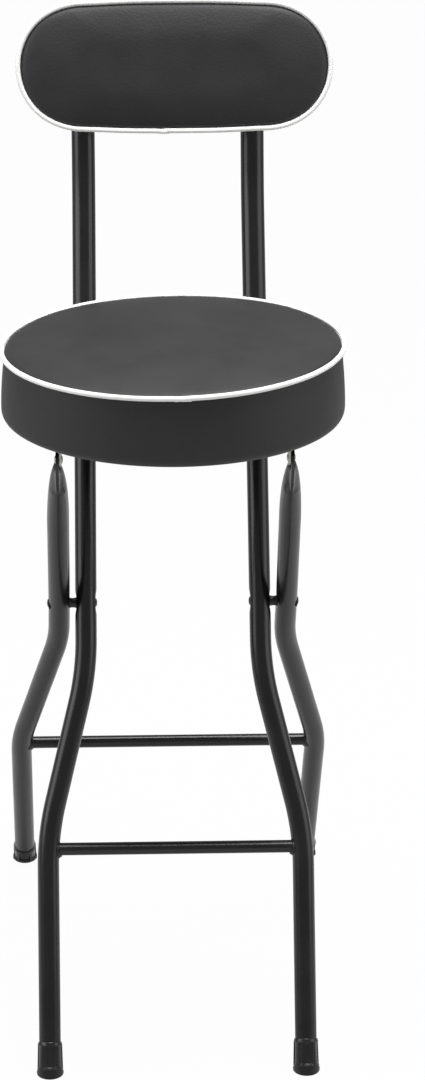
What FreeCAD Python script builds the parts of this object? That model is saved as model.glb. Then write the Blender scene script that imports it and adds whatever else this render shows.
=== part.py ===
import FreeCAD, Part
import math
import os

os.makedirs("parts", exist_ok=True)

# Folding bar stool. Millimetres, +Z up, the front at -Y, and +X to the right seen from the front.
# It is drawn about the leg pivot and then moved so that the origin is under its middle.

# Where the two leg frames cross, and how each leans from upright
pivot_below_seat = 295.5
front_lean = math.radians(24.7)
rear_lean = math.radians(35.07)

# Leg tubes, with distances measured down each leg from the pivot
leg_diameter = 22.0
leg_wall = 1.2
front_taper = 0.0047
front_upper_corner = 70.7
front_lower_corner = 237.1
front_splay = 41.0
front_bend_radius = 280.0
front_leg_past_bar = 109.0
leg_gap = 5.4
rear_taper = 0.0103
rear_upper_corner = 64.5
rear_lower_corner = 268.1
rear_splay = 44.7
rear_bend_radius = 257.0

# Cross tubes
stretcher_diameter = 13.0
stretcher_wall = 1.0
front_stretcher_down = 252.0
rear_stretcher_down = 276.0
rest_bar_drop = 23.9

# Back posts, which slide over the front legs
post_diameter = 24.0
post_clearance = 0.15
post_overlap = 50.0
post_bend_above_seat = 90.0
post_bend_radius = 250.0
back_lean = math.radians(14.0)
post_above_back = 54.0
joint_screw_radius = 2.0
joint_screw_head_radius = 4.0
joint_screw_head_height = 2.2
joint_screw_bite = 2.0
plug_depth = 16.0
plug_lip = 2.5

# Rubber feet
foot_cap_radius = 13.2
foot_flange_radius = 13.8
foot_rim_radius = 12.1
foot_cap_length = 31.0
foot_sole = 2.5
foot_flange_top = 2.5
foot_flutes = 5
foot_flute_length = 24.0
foot_flute_radius = 30.0
foot_flute_depth = 0.8
foot_flute_gap = 3.0
foot_rim_chamfer = 2.0

# Pivot rivets
flat_depth = 1.0
flat_radius = 9.0
pivot_pin_radius = 3.5
pivot_head_radius = 5.4
pivot_head_height = 2.8
pivot_washer_radius = 6.5
pivot_washer_thickness = 0.8
spacer_radius = 4.9
spacer_flare = 0.7
pin_running_clearance = 0.08
pin_fixed_clearance = 0.03
face_gap = 0.1

# Flattened tops of the rear legs and the hinge under the seat
blade_taper_length = 93.5
blade_taper_steps = 6
blade_flat_length = 8.8
blade_thickness = 2.8
blade_half_width = 13.5
blade_belly = 0.1
blade_edge = 0.6
blade_slit = 0.8
weld_overlap = 0.2
hinge_drop = 31.8
hinge_pin_radius = 3.0
hinge_head_radius = 4.2
hinge_head_height = 1.4
hinge_washer_radius = 6.0
hinge_washer_thickness = 0.6
ear_thickness = 2.2
ear_radius = 7.5
ear_flange_width = 30.0
ear_flange_front = 12.0
ear_flange_rear = 26.0
ear_corner_clearance = 4.58

# Seat
seat_forward = 62.0
seat_radius = 171.0
seat_height = 730.0
seat_crown = 10.0
seat_side_height = 70.0
seat_roll_width = 17.0
seat_roll_height = 14.0
seat_edge_round = 7.5
seat_inner_round = 4.0
seat_belly_out = 0.7
seat_belly_bulge = 1.0
seat_draw_in = 2.6
seat_lip = 1.5
seat_shoulder_width = 21.0
seat_shoulder_rise = 4.8
seat_shoulder_bulge = 1.0
piping_radius = 2.5
seat_board_inset = 12.0
seat_board_thickness = 12.0
under_cloth_thickness = 1.2
bracket_screw_radius = 2.2
bracket_screw_head_radius = 4.5
bracket_screw_head_height = 2.6
bracket_screw_bite = 9.0
bracket_screw_edge = 7.0
bracket_screw_inset = 20.0

# Hooks that hold the seat's rear to the rest bar
hook_leg_gap = 19.3
hook_width = 26.0
hook_thickness = 3.0
hook_flange_length = 32.0
hook_lip = 9.0
hook_gap = 0.3
hook_roll_gap = 4.0
hook_screw_spacing = 13.0
hook_screw_back = 12.0

# Backrest
back_width = 325.0
back_height = 137.0
back_above_seat = 216.0
back_shift = 7.0
back_cover_thickness = 3.0
back_cover_inset = 7.0
back_board_thickness = 9.0
back_board_inset = 11.0
back_side_depth = 21.0
back_hem_inset = 4.5
back_belly_inset = 0.6
back_draw_in = 1.9
back_crown = 9.0
back_crown_reach = 46.0
back_crown_steps = 4
back_bolt_spacing = 70.0
back_bolt_radius = 3.0
back_bolt_head_radius = 5.5
back_bolt_head_height = 3.2
back_bolt_short = 1.0
nut_barrel_radius = 4.2
nut_flange_radius = 9.0
nut_flange_thickness = 1.2

leg_radius = leg_diameter / 2
leg_bore = leg_radius - leg_wall
post_radius = post_diameter / 2
post_bore = leg_radius + post_clearance
stretcher_radius = stretcher_diameter / 2
seat_y = -seat_forward
side_radius = seat_radius - piping_radius
seat_board_radius = seat_radius - seat_board_inset
cut_reach = 400.0

# Heights that follow from the seat's
pivot_height = seat_height - pivot_below_seat
board_under = seat_height - seat_side_height + seat_roll_height
cloth_under = board_under - under_cloth_thickness
roll_inner = side_radius - seat_roll_width
hinge_up = (cloth_under - hinge_drop - pivot_height) / math.cos(rear_lean)
blade_taper_start = hinge_up - blade_flat_length - blade_taper_length
rest_bar_up = (cloth_under - rest_bar_drop - pivot_height) / math.cos(front_lean)
front_leg_top = rest_bar_up + front_leg_past_bar
post_bend_height = seat_height + post_bend_above_seat
back_centre_height = seat_height + back_above_seat
post_top_height = back_centre_height + post_above_back

# The brackets fill the round recess under the seat, and the legs stand beside them
ear_corner_forward = seat_y + hinge_up * math.sin(rear_lean) + ear_flange_front
ear_face = math.sqrt((roll_inner - ear_corner_clearance) ** 2 - ear_corner_forward ** 2)
blade_middle = ear_face + hinge_washer_thickness + face_gap + blade_thickness / 2
rear_pivot_half = blade_middle + rear_taper * hinge_up
front_pivot_half = rear_pivot_half - leg_diameter - leg_gap
front_foot_half = front_pivot_half + front_splay
rear_foot_half = rear_pivot_half + rear_splay

front_up = FreeCAD.Vector(0, math.sin(front_lean), math.cos(front_lean))
rear_up = FreeCAD.Vector(0, -math.sin(rear_lean), math.cos(rear_lean))
back_up = FreeCAD.Vector(0, math.sin(back_lean), math.cos(back_lean))
back_out = FreeCAD.Vector(0, -math.cos(back_lean), math.sin(back_lean))
across = FreeCAD.Vector(1, 0, 0)
upright = FreeCAD.Vector(0, 0, 1)


def at(x, y, z):
    return FreeCAD.Vector(x, y, z)


def front_point(side, half, up):
    """A point in the front legs' plane, a distance up the leg from the pivot."""
    return at(side * half, 0, pivot_height) + front_up * up


def rear_point(side, half, up):
    """A point in the rear legs' plane, a distance up the leg from the pivot."""
    return at(side * half, 0, pivot_height) + rear_up * up


def front_half(up):
    return front_pivot_half - front_taper * up


def rear_half(up):
    return rear_pivot_half - rear_taper * up


def rod(points, radius, bend_radius=0.0):
    """A round bar along straight runs that are joined by tangent bends."""
    pieces = []
    start = points[0]
    for before, corner, after in zip(points, points[1:], points[2:]):
        into = (corner - before).normalize()
        out = (after - corner).normalize()
        turn = into.getAngle(out)
        reach = bend_radius * math.tan(turn / 2)
        bend_start = corner - into * reach
        normal = into.cross(out).normalize()
        centre = bend_start + normal.cross(into) * bend_radius
        pieces.append(cylinder(start, bend_start, radius))
        disc = Part.Face(Part.Wire(Part.makeCircle(radius, bend_start, into)))
        pieces.append(disc.revolve(centre, normal, math.degrees(turn)))
        start = corner + out * reach
    pieces.append(cylinder(start, points[-1], radius))
    if len(pieces) == 1:
        return pieces[0]
    return pieces[0].multiFuse(pieces[1:]).removeSplitter()


def cylinder(start, end, radius):
    return Part.makeCylinder(radius, (end - start).Length, start, end - start)


def ring(start, end, radius, bore):
    return cylinder(start, end, radius).cut(cylinder(start, end, bore))


def box(x0, x1, y0, y1, z0, z1):
    return Part.makeBox(x1 - x0, y1 - y0, z1 - z0, at(x0, y0, z0))


def turned(profile):
    """A solid turned about Z from a closed run of edges in the XZ plane."""
    return Part.Face(Part.Wire(profile)).revolve(at(0, 0, 0), upright, 360)


def line(first, last):
    return Part.LineSegment(first, last).toShape()


def arc(first, middle, last):
    return Part.Arc(first, middle, last).toShape()


def crown_arc(reach, low, high):
    """The profile of a round cap, from its edge to its top on the axis."""
    rise = high - low
    ball_radius = (reach * reach + rise * rise) / (2 * rise)
    way = math.copysign(1, rise)
    middle_drop = ball_radius - way * math.sqrt(ball_radius ** 2 - (reach / 2) ** 2)
    return arc(at(reach, 0, low), at(reach / 2, 0, high - middle_drop), at(0, 0, high))


def headed_pin(tip, under, radius, head_radius, head_height):
    """A screw or bolt: a round shank from its tip to the underside of a domed head."""
    length = (under - tip).Length
    pin = turned([
        line(at(0, 0, 0), at(radius, 0, 0)), line(at(radius, 0, 0), at(radius, 0, length)),
        line(at(radius, 0, length), at(head_radius, 0, length)),
        crown_arc(head_radius, length, length + head_height),
        line(at(0, 0, length + head_height), at(0, 0, 0)),
    ])
    pin.Placement = FreeCAD.Placement(tip, FreeCAD.Rotation(upright, under - tip))
    return pin


def rivet(first, last, radius, head_radius, head_height):
    """A shank between two domed heads."""
    length = (last - first).Length
    pin = turned([
        crown_arc(head_radius, 0, -head_height), line(at(head_radius, 0, 0), at(radius, 0, 0)),
        line(at(radius, 0, 0), at(radius, 0, length)),
        line(at(radius, 0, length), at(head_radius, 0, length)),
        crown_arc(head_radius, length, length + head_height),
        line(at(0, 0, length + head_height), at(0, 0, -head_height)),
    ])
    pin.Placement = FreeCAD.Placement(first, FreeCAD.Rotation(upright, last - first))
    return pin


# The legs and what is welded or fitted to them

def leg_end_height(lean):
    """How far up its axis a leg ends, so that the foot's sole is under all of it."""
    return leg_radius * math.tan(lean) + foot_sole


def front_leg_points(side, top):
    end = leg_end_height(front_lean) - pivot_height / math.cos(front_lean)
    return [
        front_point(side, front_half(top), top),
        front_point(side, front_half(-front_upper_corner), -front_upper_corner),
        front_point(side, front_foot_half, -front_lower_corner),
        front_point(side, front_foot_half, end),
    ]


def rear_leg_points(side, top):
    end = leg_end_height(rear_lean) - pivot_height / math.cos(rear_lean)
    return [
        rear_point(side, rear_half(top), top),
        rear_point(side, rear_half(-rear_upper_corner), -rear_upper_corner),
        rear_point(side, rear_foot_half, -rear_lower_corner),
        rear_point(side, rear_foot_half, end),
    ]


def pivot_flats(half, side, radius, spread):
    """The space outside the two pressed flats where a leg takes its rivet."""
    height = at(0, 0, pivot_height)
    outer = at(side * (half + radius), 0, 0) + height
    inner = at(side * (half - radius), 0, 0) + height
    return [
        cylinder(outer, outer + across * (side * leg_radius), spread),
        cylinder(inner, inner - across * (side * leg_radius), spread),
    ]


def pressed_tube(points, bend_radius, half, side):
    """A leg tube whose wall is pressed in at the pivot."""
    outer = rod(points, leg_radius, bend_radius)
    inner = rod(points, leg_bore, bend_radius)
    outer = outer.cut(pivot_flats(half, side, leg_radius - flat_depth, flat_radius))
    inner = inner.cut(pivot_flats(half, side, leg_bore - flat_depth, flat_radius + leg_wall))
    return outer, inner


def pivot_hole(radius):
    reach = rear_foot_half
    return cylinder(at(-reach, 0, pivot_height), at(reach, 0, pivot_height), radius)


def joint_screw_base(side):
    up = front_leg_top - post_overlap / 2
    return front_point(side, front_half(up), up), back_of(front_up)


def back_of(direction):
    """The level-ahead normal of a leaning member, pointing to the rear."""
    return FreeCAD.Vector(0, direction.z, -direction.y)


def make_front_leg(side):
    points = front_leg_points(side, front_leg_top)
    outer, inner = pressed_tube(points, front_bend_radius, front_pivot_half, side)
    base, back = joint_screw_base(side)
    screw_hole = cylinder(base, base + back * leg_diameter, joint_screw_radius)
    return outer.cut([inner, pivot_hole(pivot_pin_radius + pin_fixed_clearance), screw_hole])


def post_points(side, bottom):
    """The post follows the leg, then turns more upright."""
    bend_up = (post_bend_height - pivot_height) / math.cos(front_lean)
    bend = front_point(side, front_half(bend_up), bend_up)
    rise = (post_top_height - post_bend_height) / math.cos(back_lean)
    top = bend + back_up * rise
    return [front_point(side, front_half(bottom), bottom), bend, top]


def back_bolt_centres(side):
    """Points on a post's axis where the backrest is bolted on."""
    bend, top = post_points(side, 0)[1:]
    along = back_up
    middle = (back_centre_height - bend.z) / along.z
    return [bend + along * (middle + step * back_bolt_spacing / 2) for step in (-1, 1)]


def make_back_post(side):
    points = post_points(side, front_leg_top - post_overlap)
    outer = rod(points, post_radius, post_bend_radius)
    ends = [points[0] - front_up, points[1], points[2] + back_up]
    inner = rod(ends, post_bore, post_bend_radius)
    base, back = joint_screw_base(side)
    holes = [cylinder(base, base + back * post_diameter, joint_screw_radius)]
    for centre in back_bolt_centres(side):
        start = centre - back_out * post_diameter
        holes.append(cylinder(start, centre + back_out * post_diameter, back_bolt_radius))
    return outer.cut([inner] + holes)


def make_joint_screws():
    screws = []
    for side in (-1, 1):
        base, back = joint_screw_base(side)
        under = base + back * post_radius
        tip = base + back * (leg_bore - joint_screw_bite)
        screws.append(headed_pin(
            tip, under, joint_screw_radius, joint_screw_head_radius, joint_screw_head_height))
    return Part.Compound(screws)


def make_post_plugs():
    plugs = []
    for side in (-1, 1):
        top = post_points(side, 0)[2]
        lip = cylinder(top, top + back_up * plug_lip, post_radius)
        body = cylinder(top - back_up * plug_depth, top, post_bore)
        plugs.append(lip.fuse(body))
    return Part.Compound(plugs)


def make_stretcher(point_at, half, up, legs):
    """A cross tube whose ends are cut to sit against the two legs."""
    left = point_at(-1, half, up)
    right = point_at(1, half, up)
    bar = ring(left, right, stretcher_radius, stretcher_radius - stretcher_wall)
    return keep_middle(bar.cut(legs))


def keep_middle(shape):
    """Of the pieces that a cut leaves, the one across the stool's middle."""
    return max(shape.Solids, key=lambda solid: solid.Volume)


def make_foot(side, half, lean, direction):
    """A fluted rubber cap, cut level where it stands on the floor."""
    mouth = foot_cap_length
    inside = leg_end_height(lean)
    nose = foot_flange_radius * math.tan(lean) + foot_sole
    profile = [
        at(0, 0, -nose), at(foot_flange_radius, 0, -nose),
        at(foot_flange_radius, 0, foot_flange_top), at(foot_cap_radius, 0, foot_flange_top),
        at(foot_cap_radius, 0, mouth - foot_rim_chamfer), at(foot_rim_radius, 0, mouth),
        at(leg_radius, 0, mouth), at(leg_radius, 0, inside), at(0, 0, inside),
    ]
    cap = turned([line(a, b) for a, b in zip(profile, profile[1:] + profile[:1])])
    cap = cap.cut(foot_grooves(mouth - foot_flute_gap - foot_flute_length))
    spot = at(side * half, 0, pivot_height) - direction * (pivot_height / math.cos(lean))
    cap.Placement = FreeCAD.Placement(spot, FreeCAD.Rotation(upright, direction))
    return cap.cut(box(-cut_reach, cut_reach, -cut_reach, cut_reach, -cut_reach, 0))


def foot_grooves(start):
    away = foot_cap_radius + foot_flute_radius - foot_flute_depth
    grooves = []
    for index in range(foot_flutes):
        angle = 2 * math.pi * index / foot_flutes - math.pi / 2
        centre = at(away * math.cos(angle), away * math.sin(angle), start)
        grooves.append(cylinder(centre, centre + upright * foot_flute_length, foot_flute_radius))
    return grooves


# Pivot rivets: fixed in the front legs, and the rear legs turn on them

front_outer_flat = front_pivot_half + leg_radius - flat_depth
front_inner_flat = front_pivot_half - leg_radius + flat_depth
rear_inner_flat = rear_pivot_half - leg_radius + flat_depth
rear_outer_flat = rear_pivot_half + leg_radius - flat_depth
washer_face = rear_outer_flat + face_gap


def pivot_at(side, half):
    return at(side * half, 0, pivot_height)


def make_pivot_rivet(side):
    first = pivot_at(side, front_inner_flat)
    last = pivot_at(side, washer_face + pivot_washer_thickness)
    return rivet(first, last, pivot_pin_radius, pivot_head_radius, pivot_head_height)


def make_pivot_washers():
    bore = pivot_pin_radius + pin_fixed_clearance
    washers = []
    for side in (-1, 1):
        start = pivot_at(side, washer_face)
        end = pivot_at(side, washer_face + pivot_washer_thickness)
        washers.append(ring(start, end, pivot_washer_radius, bore))
    return Part.Compound(washers)


def make_pivot_spacer(side):
    """A waisted bush that keeps the crossing tubes apart."""
    length = rear_inner_flat - face_gap - front_outer_flat
    bore = pivot_pin_radius + pin_fixed_clearance
    wide = spacer_radius + spacer_flare
    profile = [
        line(at(bore, 0, 0), at(wide, 0, 0)),
        arc(at(wide, 0, 0), at(spacer_radius, 0, length / 2), at(wide, 0, length)),
        line(at(wide, 0, length), at(bore, 0, length)),
        line(at(bore, 0, length), at(bore, 0, 0)),
    ]
    bush = turned(profile)
    turn = FreeCAD.Rotation(upright, across * side)
    bush.Placement = FreeCAD.Placement(pivot_at(side, front_outer_flat), turn)
    return bush


# Rear legs, flattened at the top into upright blades

rear_fore = FreeCAD.Vector(0, rear_up.z, -rear_up.y)


def blade_section(centre, sideways, thick, wide, bulge, corner):
    """A closed outline of four arcs: two sides and two ends."""
    corners = [(1, 1), (-1, 1), (-1, -1), (1, -1)]
    points = [centre + sideways * (thick * a) + rear_fore * (corner * b) for a, b in corners]
    middles = [
        centre + rear_fore * wide, centre - sideways * bulge,
        centre - rear_fore * wide, centre + sideways * bulge,
    ]
    edges = [arc(a, b, c) for a, b, c in zip(points, middles, points[1:] + points[:1])]
    return Part.Wire(edges)


def leg_end_taper(side, radius, thick, wide):
    """The pressed stretch, which narrows to the flat blade along a rounded bullet shape."""
    diagonal = radius * math.sqrt(0.5)
    low, below = rear_leg_points(side, blade_taper_start)[:2]
    sideways = rear_fore.cross(low - below).normalize()
    high = hinge_point(side, rear_half(hinge_up)) - rear_up * blade_flat_length
    flat = thick + blade_belly
    sections = []
    for step in range(blade_taper_steps + 1):
        share = math.sin(math.pi / 2 * step / blade_taper_steps)
        full = math.sqrt(max(0, 1 - share * share))
        ridge = (1 - share) ** 2
        sections.append(blade_section(
            low + (high - low) * share, (sideways + (across - sideways) * share).normalize(),
            thick + (diagonal - thick) * ridge, wide + (radius - wide) * (1 - share),
            flat + (radius - flat) * full, wide - blade_edge + (diagonal - wide + blade_edge) * ridge))
    return Part.makeLoft(sections, True, True)


def hinge_point(side, half):
    return rear_point(side, half, hinge_up)


def make_blade(side):
    """The flat plate at the leg's top, with a round end about the hinge."""
    half = blade_thickness / 2
    start = blade_taper_start + blade_taper_length - weld_overlap
    length = hinge_up - start
    low = rear_point(side, rear_half(hinge_up), start)
    corners = [low - rear_fore * blade_half_width, low + rear_fore * blade_half_width]
    corners += [point + rear_up * length for point in reversed(corners)]
    corners = [point - across * half for point in corners]
    outline = [line(a, b) for a, b in zip(corners, corners[1:] + corners[:1])]
    plate = Part.Face(Part.Wire(outline)).extrude(across * blade_thickness)
    centre = hinge_point(side, rear_half(hinge_up))
    end = cylinder(centre - across * half, centre + across * half, blade_half_width)
    return plate.fuse(end)


def make_rear_leg(side):
    points = rear_leg_points(side, blade_taper_start)
    outer, inner = pressed_tube(points, rear_bend_radius, rear_pivot_half, side)
    skin = leg_end_taper(side, leg_radius, blade_thickness / 2, blade_half_width)
    hollow = leg_end_taper(side, leg_bore, blade_slit / 2, blade_half_width - leg_wall)
    leg = outer.cut(inner).fuse(skin.cut(hollow)).fuse(make_blade(side))
    leg = leg.cut(pivot_hole(pivot_pin_radius + pin_running_clearance))
    centre = hinge_point(side, rear_half(hinge_up))
    hinge_hole = cylinder(
        centre - across * leg_diameter, centre + across * leg_diameter,
        hinge_pin_radius + pin_running_clearance)
    return leg.cut(hinge_hole)


# The seat

def seat_round(z0, z1, radius):
    return cylinder(at(0, seat_y, z0), at(0, seat_y, z1), radius)


def seat_ring(radius):
    return Part.makeTorus(side_radius, radius, at(0, seat_y, seat_height))


def quarter_point(centre, radius, way_x, way_z):
    """The middle of a quarter circle in the XZ plane."""
    reach = radius * math.sqrt(0.5)
    return centre + at(way_x * reach, 0, way_z * reach)


def make_seat_cushion():
    """The padded drum: a crowned top, sides drawn in under the piping, and a rolled edge."""
    low = seat_height - seat_side_height
    belly = side_radius + seat_belly_out
    neck = side_radius - seat_draw_in
    top = seat_height + seat_lip
    shoulder = neck - seat_lip - seat_shoulder_width
    crown_start = top + seat_shoulder_rise
    inner = at(roll_inner + seat_inner_round, 0, low + seat_inner_round)
    outer = at(belly - seat_edge_round, 0, low + seat_edge_round)
    side_middle = at((belly + neck) / 2 + seat_belly_bulge, 0, (outer.z + seat_height) / 2)
    shoulder_middle = at(shoulder + seat_shoulder_width / 2, 0,
                         (top + crown_start) / 2 + seat_shoulder_bulge)
    peak = at(0, 0, top + seat_crown)
    edges = [
        arc(at(roll_inner, 0, inner.z), quarter_point(inner, seat_inner_round, -1, -1), at(inner.x, 0, low)),
        line(at(inner.x, 0, low), at(outer.x, 0, low)),
        arc(at(outer.x, 0, low), quarter_point(outer, seat_edge_round, 1, -1), at(belly, 0, outer.z)),
        arc(at(belly, 0, outer.z), side_middle, at(neck, 0, seat_height)),
        line(at(neck, 0, seat_height), at(neck - seat_lip, 0, top)),
        arc(at(neck - seat_lip, 0, top), shoulder_middle, at(shoulder, 0, crown_start)),
        crown_arc(shoulder, crown_start, peak.z),
        line(peak, at(0, 0, board_under)),
        line(at(0, 0, board_under), at(roll_inner, 0, board_under)),
        line(at(roll_inner, 0, board_under), at(roll_inner, 0, inner.z)),
    ]
    drum = turned(edges)
    drum.Placement = FreeCAD.Placement(at(0, seat_y, 0), FreeCAD.Rotation())
    board = seat_round(board_under, board_under + seat_board_thickness, seat_board_radius)
    return drum.cut([board, seat_ring(piping_radius)])


def bracket_screw_spots():
    """Where the hinge brackets are screwed to the board."""
    y = hinge_point(1, 0).y
    x = ear_face - bracket_screw_inset
    ends = (bracket_screw_edge - ear_flange_front, ear_flange_rear - bracket_screw_edge)
    return [at(side * x, y + end, 0) for side in (-1, 1) for end in ends]


def hook_screw_spots():
    spots = []
    y = hook_flange_start() + hook_screw_back
    for side in (-1, 1):
        for way in (-1, 1):
            spots.append(at(side * hook_offset + way * hook_screw_spacing / 2, y, 0))
    return spots


def bracket_screw(spot, flange_thickness):
    under = at(spot.x, spot.y, cloth_under - flange_thickness)
    tip = at(spot.x, spot.y, board_under + bracket_screw_bite)
    return headed_pin(
        tip, under, bracket_screw_radius, bracket_screw_head_radius, bracket_screw_head_height)


def screw_holes(spots):
    low = cloth_under - ear_thickness - hook_thickness
    high = board_under + bracket_screw_bite
    return [cylinder(at(s.x, s.y, low), at(s.x, s.y, high), bracket_screw_radius) for s in spots]


def make_seat_board():
    board = seat_round(board_under, board_under + seat_board_thickness, seat_board_radius)
    return board.cut(screw_holes(bracket_screw_spots() + hook_screw_spots()))


def make_under_cloth():
    cloth = seat_round(cloth_under, board_under, roll_inner)
    return cloth.cut(screw_holes(bracket_screw_spots() + hook_screw_spots()))


def make_hinge_bracket(side):
    """An angle: a flange screwed under the board and a round-ended ear."""
    outer = ear_face
    inner = ear_face - ear_thickness
    centre = hinge_point(side, 0)
    ear = box(inner, outer, centre.y - ear_radius, centre.y + ear_radius, centre.z, cloth_under)
    ear = ear.fuse(cylinder(at(inner, centre.y, centre.z), at(outer, centre.y, centre.z), ear_radius))
    flange = box(inner - ear_flange_width, outer, centre.y - ear_flange_front,
                 centre.y + ear_flange_rear, cloth_under - ear_thickness, cloth_under)
    hole = cylinder(at(0, centre.y, centre.z), at(outer * 2, centre.y, centre.z),
                    hinge_pin_radius + pin_fixed_clearance)
    bracket = ear.fuse(flange).removeSplitter()
    if side < 0:
        bracket = bracket.mirror(at(0, 0, 0), across)
        hole = hole.mirror(at(0, 0, 0), across)
    return bracket.cut([hole] + screw_holes(bracket_screw_spots()))


def make_hinge_rivet(side):
    first = hinge_point(side, ear_face - ear_thickness)
    last = hinge_point(side, rear_half(hinge_up) + blade_thickness / 2 + face_gap)
    return rivet(first, last, hinge_pin_radius, hinge_head_radius, hinge_head_height)


def make_hinge_washers():
    bore = hinge_pin_radius + pin_fixed_clearance
    washers = []
    for side in (-1, 1):
        start = hinge_point(side, ear_face)
        end = hinge_point(side, ear_face + hinge_washer_thickness)
        washers.append(ring(start, end, hinge_washer_radius, bore))
    return Part.Compound(washers)


def make_hinge_screws():
    return Part.Compound([bracket_screw(spot, ear_thickness) for spot in bracket_screw_spots()])


def rest_bar_centre():
    return front_point(1, 0, rest_bar_up)


# The hooks stand inside the front legs
hook_offset = front_half(rest_bar_up) - leg_radius - hook_leg_gap - hook_width / 2


def hook_flange_start():
    """The hook's flange lies under the board, ahead of the rolled edge."""
    reach = math.sqrt(roll_inner ** 2 - (hook_offset + hook_width / 2) ** 2)
    return seat_y + reach - hook_roll_gap - hook_flange_length


def make_seat_hook(side):
    """A stepped strap that lies over the rest bar and turns down behind it."""
    bar = rest_bar_centre()
    top = cloth_under
    over = bar.z + stretcher_radius + hook_gap
    behind = bar.y + stretcher_radius + hook_gap
    start = hook_flange_start()
    step = start + hook_flange_length
    thick = hook_thickness
    low = over - hook_lip
    outline = [
        (start, top), (step, top), (step, over + thick), (behind + thick, over + thick),
        (behind + thick, low), (behind, low), (behind, over), (step - thick, over),
        (step - thick, top - thick), (start, top - thick),
    ]
    x0 = side * hook_offset - hook_width / 2
    points = [at(x0, y, z) for y, z in outline]
    face = Part.Face(Part.Wire([line(a, b) for a, b in zip(points, points[1:] + points[:1])]))
    return face.extrude(across * hook_width).cut(screw_holes(hook_screw_spots()))


def make_hook_screws():
    return Part.Compound([bracket_screw(spot, hook_thickness) for spot in hook_screw_spots()])


# The backrest, drawn flat about its centre and then stood on the posts

def back_placement():
    """Flat X, Y, Z become across, up the back and out towards the sitter."""
    centres = back_bolt_centres(1)
    middle = (centres[0] + centres[1]) * 0.5
    middle.x = back_shift
    turn = FreeCAD.Rotation(across, back_up, back_out, "XYZ")
    return FreeCAD.Placement(middle + back_out * post_radius, turn)


def pill(inset, depth):
    """A pill-shaped outline, with each round end as two arcs."""
    radius = back_height / 2 - piping_radius - inset
    end = (back_width - back_height) / 2
    slant = radius * math.sqrt(0.5)
    edges = [line(at(-end, radius, depth), at(end, radius, depth))]
    for side in (1, -1):
        top = at(side * end, side * radius, depth)
        tip = at(side * (end + radius), 0, depth)
        bottom = at(side * end, -side * radius, depth)
        edges.append(arc(top, at(side * (end + slant), side * slant, depth), tip))
        edges.append(arc(tip, at(side * (end + slant), -side * slant, depth), bottom))
        if side == 1:
            edges.append(line(bottom, at(-end, -radius, depth)))
    return Part.Wire(edges)


def pill_plate(inset, low, high):
    return Part.Face(pill(inset, low)).extrude(upright * (high - low))


board_front = back_cover_thickness + back_board_thickness
pipe_depth = back_cover_thickness + back_side_depth


def back_pipe_ring():
    radius = back_height / 2 - piping_radius
    end = (back_width - back_height) / 2
    pieces = []
    for side in (1, -1):
        start = at(side * end, side * radius, pipe_depth)
        pieces.append(cylinder(start, at(-side * end, side * radius, pipe_depth), piping_radius))
        disc = Part.Face(Part.Wire(Part.makeCircle(piping_radius, start, across)))
        pieces.append(disc.revolve(at(side * end, 0, pipe_depth), upright, -180))
    return pieces[0].multiFuse(pieces[1:]).removeSplitter()


def back_side_outlines():
    """From the hem at the rear cover, out to the belly, and in again at the piping."""
    low = back_cover_thickness
    return [
        pill(back_hem_inset, low), pill(back_belly_inset * 2, low + back_side_depth / 4),
        pill(back_belly_inset, low + back_side_depth / 2), pill(back_draw_in, pipe_depth),
    ]


def back_crown_outlines():
    outlines = [pill(back_draw_in, pipe_depth)]
    for step in range(back_crown_steps):
        angle = math.pi / 2 * (step + 1) / back_crown_steps
        inset = back_draw_in + back_crown_reach * (1 - math.cos(angle))
        outlines.append(pill(inset, pipe_depth + back_crown * math.sin(angle)))
    return outlines


def make_back_cushion():
    """A crowned pad with drawn-in sides, hollow where its board and nuts sit."""
    pad = Part.makeLoft(back_side_outlines(), True)
    pad = pad.fuse(Part.makeLoft(back_crown_outlines(), True))
    hollows = [pill_plate(back_board_inset, back_cover_thickness, board_front), back_pipe_ring()]
    for spot in flat_bolt_spots():
        face = spot + upright * board_front
        hollows.append(cylinder(face, face + upright * nut_flange_thickness, nut_flange_radius))
    pad = pad.cut(hollows)
    pad.Placement = back_placement()
    return pad


def flat_bolt_spots():
    """Bolt places in the flat drawing of the backrest."""
    inverse = back_placement().inverse()
    spots = []
    for side in (-1, 1):
        for centre in back_bolt_centres(side):
            flat = inverse.multVec(centre)
            spots.append(at(flat.x, flat.y, 0))
    return spots


def make_back_board():
    board = pill_plate(back_board_inset, back_cover_thickness, board_front)
    board = board.cut([
        cylinder(spot, spot + upright * pipe_depth, nut_barrel_radius) for spot in flat_bolt_spots()])
    board.Placement = back_placement()
    return board


def make_back_cover():
    cover = pill_plate(back_cover_inset, 0, back_cover_thickness)
    cover = cover.cut([
        cylinder(spot - upright, spot + upright * back_board_thickness, back_bolt_radius)
        for spot in flat_bolt_spots()])
    cover.Placement = back_placement()
    return cover


def make_back_piping():
    piping = back_pipe_ring()
    piping.Placement = back_placement()
    return piping


def make_back_nuts():
    nuts = []
    for spot in flat_bolt_spots():
        low = spot + upright * back_cover_thickness
        face = spot + upright * board_front
        nut = cylinder(low, face, nut_barrel_radius).fuse(
            cylinder(face, face + upright * nut_flange_thickness, nut_flange_radius))
        nuts.append(nut.cut(cylinder(low, face, back_bolt_radius)))
    nuts = Part.Compound(nuts)
    nuts.Placement = back_placement()
    return nuts


def make_back_bolts():
    bolts = []
    for side in (-1, 1):
        for centre in back_bolt_centres(side):
            under = centre - back_out * post_radius
            tip = centre + back_out * (post_radius + board_front - back_bolt_short)
            bolts.append(headed_pin(
                tip, under, back_bolt_radius, back_bolt_head_radius, back_bolt_head_height))
    return Part.Compound(bolts)


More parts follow.
